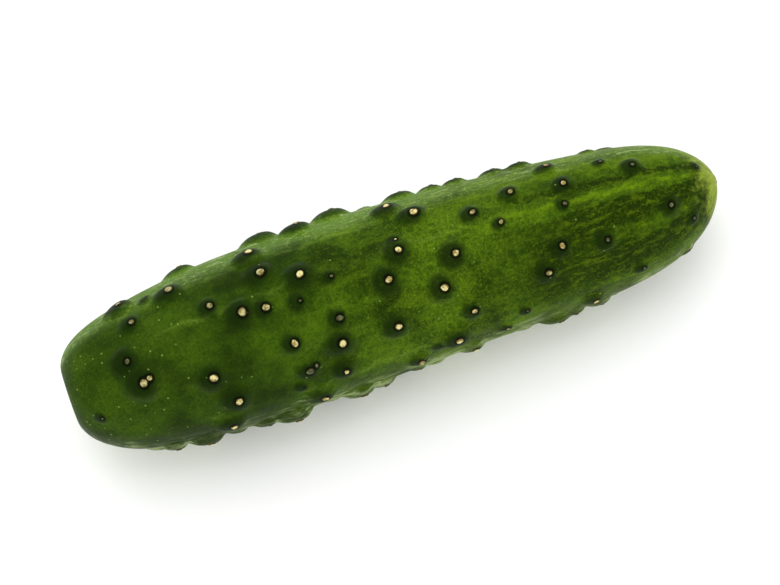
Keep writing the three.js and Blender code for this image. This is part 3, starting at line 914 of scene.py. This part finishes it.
    # The bloom breaks up the mirror part of the light, so little of it is left.
    shader.inputs["IOR"].default_value = 1.45
    shader.inputs["Specular IOR Level"].default_value = 0.04
    relief = add(tree, "ShaderNodeMath", {0: mottle, 1: 1.2, 2: grain}, operation="MULTIPLY_ADD")
    bump = add(tree, "ShaderNodeBump", {"Height": relief, "Strength": 0.5, "Distance": 0.08 * MM})
    tree.links.new(bump, shader.inputs["Normal"])
    return material


def dry_cork():
    """The dry scar of a spine: cracked pale cork with ochre stains and a brown rim."""
    material, tree, shader = new_material("dry spine scar cork")
    here = add(tree, "ShaderNodeTexCoord", out="Object")
    out_share = add(tree, "ShaderNodeAttribute", {}, out="Fac", attribute_name="from_centre")
    tone = add(tree, "ShaderNodeAttribute", {}, out="Fac", attribute_name="tone")
    grain = add(tree, "ShaderNodeTexNoise",
                {"Vector": here, "Scale": 1 / (0.5 * MM), "Detail": 3.0, "Roughness": 0.6})
    stain = add(tree, "ShaderNodeTexNoise",
                {"Vector": here, "Scale": 1 / (1.1 * MM), "Detail": 3.0, "Roughness": 0.7})
    stained = add(tree, "ShaderNodeMapRange",
                  {"Value": stain, "From Min": 0.43, "From Max": 0.58, "To Min": 0.0, "To Max": 0.85},
                  interpolation_type="SMOOTHSTEP")
    fresh = add(tree, "ShaderNodeMix",
                {0: stained, 6: linear("dad08e"), 7: linear("7c6420")}, out=2, data_type="RGBA")
    old = add(tree, "ShaderNodeMix",
              {0: stained, 6: linear("666c46"), 7: linear("3c4420")}, out=2, data_type="RGBA")
    colour = add(tree, "ShaderNodeMix", {0: tone, 6: fresh, 7: old}, out=2, data_type="RGBA")
    ragged = add(tree, "ShaderNodeMath", {0: grain, 1: 0.5, 2: out_share}, operation="MULTIPLY_ADD")
    rim = add(tree, "ShaderNodeMapRange",
              {"Value": ragged, "From Min": 0.98, "From Max": 1.2, "To Min": 0.0, "To Max": 1.0},
              interpolation_type="SMOOTHSTEP")
    colour = add(tree, "ShaderNodeMix", {0: rim, 6: colour, 7: linear("48380e")}, out=2,
                 data_type="RGBA")
    tree.links.new(colour, shader.inputs["Base Color"])
    roughness = add(tree, "ShaderNodeMapRange",
                    {"Value": grain, "From Min": 0.3, "From Max": 0.7, "To Min": 0.6, "To Max": 0.8})
    tree.links.new(roughness, shader.inputs["Roughness"])
    shader.inputs["Specular IOR Level"].default_value = 0.3
    bump = add(tree, "ShaderNodeBump", {"Height": grain, "Strength": 0.5, "Distance": 0.06 * MM})
    tree.links.new(bump, shader.inputs["Normal"])
    return material


def end_cork(name, pale_hex, dark_hex, grain_size):
    """Dry cork of an end scar: pale tissue with darker fibres showing in it."""
    material, tree, shader = new_material(name)
    here = add(tree, "ShaderNodeTexCoord", out="Object")
    lumps = add(tree, "ShaderNodeTexNoise",
                {"Vector": here, "Scale": 1 / grain_size, "Detail": 4.0, "Roughness": 0.65})
    pits = add(tree, "ShaderNodeTexVoronoi", {"Vector": here, "Scale": 1 / (0.8 * grain_size)},
               out="Distance")
    mixed = add(tree, "ShaderNodeMath", {0: pits, 1: 0.35, 2: lumps}, operation="MULTIPLY_ADD")
    share = add(tree, "ShaderNodeMapRange",
                {"Value": mixed, "From Min": 0.5, "From Max": 0.8, "To Min": 0.0, "To Max": 1.0},
                interpolation_type="SMOOTHSTEP")
    colour = add(tree, "ShaderNodeMix", {0: share, 6: linear(pale_hex), 7: linear(dark_hex)}, out=2,
                 data_type="RGBA")
    tree.links.new(colour, shader.inputs["Base Color"])
    roughness = add(tree, "ShaderNodeMapRange",
                    {"Value": lumps, "From Min": 0.3, "From Max": 0.7, "To Min": 0.65, "To Max": 0.85})
    tree.links.new(roughness, shader.inputs["Roughness"])
    shader.inputs["Specular IOR Level"].default_value = 0.3
    bump = add(tree, "ShaderNodeBump", {"Height": mixed, "Strength": 0.6, "Distance": 0.15 * MM})
    tree.links.new(bump, shader.inputs["Normal"])
    return material


# ---- setting down ----

def settle(pieces):
    """Moves the pieces together so that they stand on the floor in the middle of the fruit's box."""
    corners = np.array([v.co for piece in pieces for v in piece.data.vertices])
    low, high = Vector(corners.min(0)), Vector(corners.max(0))
    shift = (FRUIT_LOW + FRUIT_HIGH) / 2 - (low + high) / 2
    shift.z = FRUIT_LOW.z - low.z
    for piece in pieces:
        for vertex in piece.data.vertices:
            vertex.co += shift


# ---- floor, light and camera ----

def pale_floor():
    material, tree, shader = new_material("matt white card")
    here = add(tree, "ShaderNodeTexCoord", out="Object")
    fibre = add(tree, "ShaderNodeTexNoise", {"Vector": here, "Scale": 1 / (1.5 * MM), "Detail": 3.0})
    tint = add(tree, "ShaderNodeMapRange",
               {"Value": fibre, "From Min": 0.0, "From Max": 1.0, "To Min": 0.96, "To Max": 0.98})
    tree.links.new(tint, shader.inputs["Base Color"])
    shader.inputs["Roughness"].default_value = 0.9
    shader.inputs["Specular IOR Level"].default_value = 0.1
    half = FLOOR_HALF
    corners = [(-half, -half, 0), (half, -half, 0), (half, half, 0), (-half, half, 0)]
    floor = new_object("floor", corners, [(0, 1, 2, 3)])
    floor.data.materials.append(material)


def soft_light(name, place, size, power):
    light = bpy.data.lights.new(name, "AREA")
    light.shape = "SQUARE"
    light.size = size
    light.energy = power
    lamp = bpy.data.objects.new(name, light)
    bpy.context.scene.collection.objects.link(lamp)
    lamp.location = place
    lamp.rotation_mode = "QUATERNION"
    lamp.rotation_quaternion = (-Vector(place)).to_track_quat("-Z", "Y")
    return lamp


def white_room():
    """Even white light from all round, which gives soft shading and no mirror image on the skin."""
    world = bpy.data.worlds.new("white room")
    bpy.context.scene.world = world
    world.use_nodes = True
    tree = world.node_tree
    tree.nodes.clear()
    ray = add(tree, "ShaderNodeLightPath", out=None)
    strength = add(tree, "ShaderNodeMix",
                   {0: ray.outputs["Is Camera Ray"], 2: ROOM_LIGHT, 3: 1.0}, out=0, data_type="FLOAT")
    light = add(tree, "ShaderNodeBackground", {"Color": (1, 1, 1, 1), "Strength": strength})
    add(tree, "ShaderNodeOutputWorld", {"Surface": light})
    world.cycles_visibility.glossy = False


def camera_above():
    """Looks steeply down across the fruit, rolled so that the fruit runs up to the right."""
    centre = (FRUIT_LOW + FRUIT_HIGH) / 2
    height_angle = math.radians(CAMERA_HEIGHT_ANGLE)
    back = Vector((0, -math.cos(height_angle), math.sin(height_angle)))
    camera = bpy.data.objects.new("camera", bpy.data.cameras.new("camera"))
    bpy.context.scene.collection.objects.link(camera)
    bpy.context.scene.camera = camera
    camera.data.sensor_width = CAMERA_SENSOR
    camera.data.lens = CAMERA_LENS
    view = Quaternion(back, math.radians(CAMERA_ROLL)) @ (-back).to_track_quat("-Z", "Y")
    camera.rotation_mode = "QUATERNION"
    camera.rotation_quaternion = view
    aside = view @ Vector((-CAMERA_ASIDE, -CAMERA_BELOW, 0))
    camera.location = centre + back * CAMERA_DISTANCE + aside


# ---- the pieces ----

points = outline()
outline_seed = new_object("outline", [(r * MM, 0.0, s * MM) for r, s in points], [])
places = wart_places()

skin = grow("skin", outline_seed, skin_tree(), {
    "Warts": places, "Facets round": FACETS_ROUND, "Rings": len(points) - 1,
    "Half length": LENGTH / 2 * MM, "Lobe depth": LOBE_DEPTH, "Rib depth": RIB_DEPTH,
    "Rib angle": math.radians(RIB_ANGLE), "Bow": BOW * MM, "Bow centre": BOW_CENTRE * MM,
    "Bow station": BOW_STATION * MM, "Axis slope": AXIS_SLOPE, "Stem hook": STEM_HOOK * MM,
    "Stem hook from": STEM_HOOK_FROM * MM, "Blossom hook": BLOSSOM_HOOK * MM,
    "Blossom hook from": BLOSSOM_HOOK_FROM * MM, "Lean": WART_LEAN,
    "Scar collar": COLLAR_WIDTH * MM, "Halo offset": (HALO_OFFSET * MM, 0.0, 0.0),
    "Halo reach": HALO_REACH, "Swell": SWELL * MM, "Swell size": SWELL_SIZE * MM,
    "Skin": waxy_skin()})

scars = grow("spine_scars", places, spine_scar_tree(), {
    "Skin piece": skin, "Sides": SCAR_CORNERS, "Thickness": SCAR_THICKNESS,
    "Unevenness": SCAR_UNEVENNESS, "Seed": SCAR_SEED, "Cork": dry_cork()})

stem_end = stem_scar()
stem_end.data.materials.append(end_cork("cut stem cork", "a3a06c", "5c5428", 0.9 * MM))
blossom_end = blossom_scar()
blossom_end.data.materials.append(end_cork("dried flower base", "a0a858", "6a6428", 0.5 * MM))

settle([skin, scars, stem_end, blossom_end])
for helper in (outline_seed, places):
    bpy.data.objects.remove(helper)

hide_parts("cucumber")
for piece, slot in ((skin, "skin"), (scars, "spine_scar"), (stem_end, "end_scar"),
                    (blossom_end, "end_scar")):
    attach(piece, "root")

pale_floor()
white_room()
soft_light("top light", **TOP_LIGHT).visible_glossy = False
soft_light("sheen light", **SHEEN_LIGHT)
camera_above()
bpy.context.scene.view_settings.view_transform = "Standard"
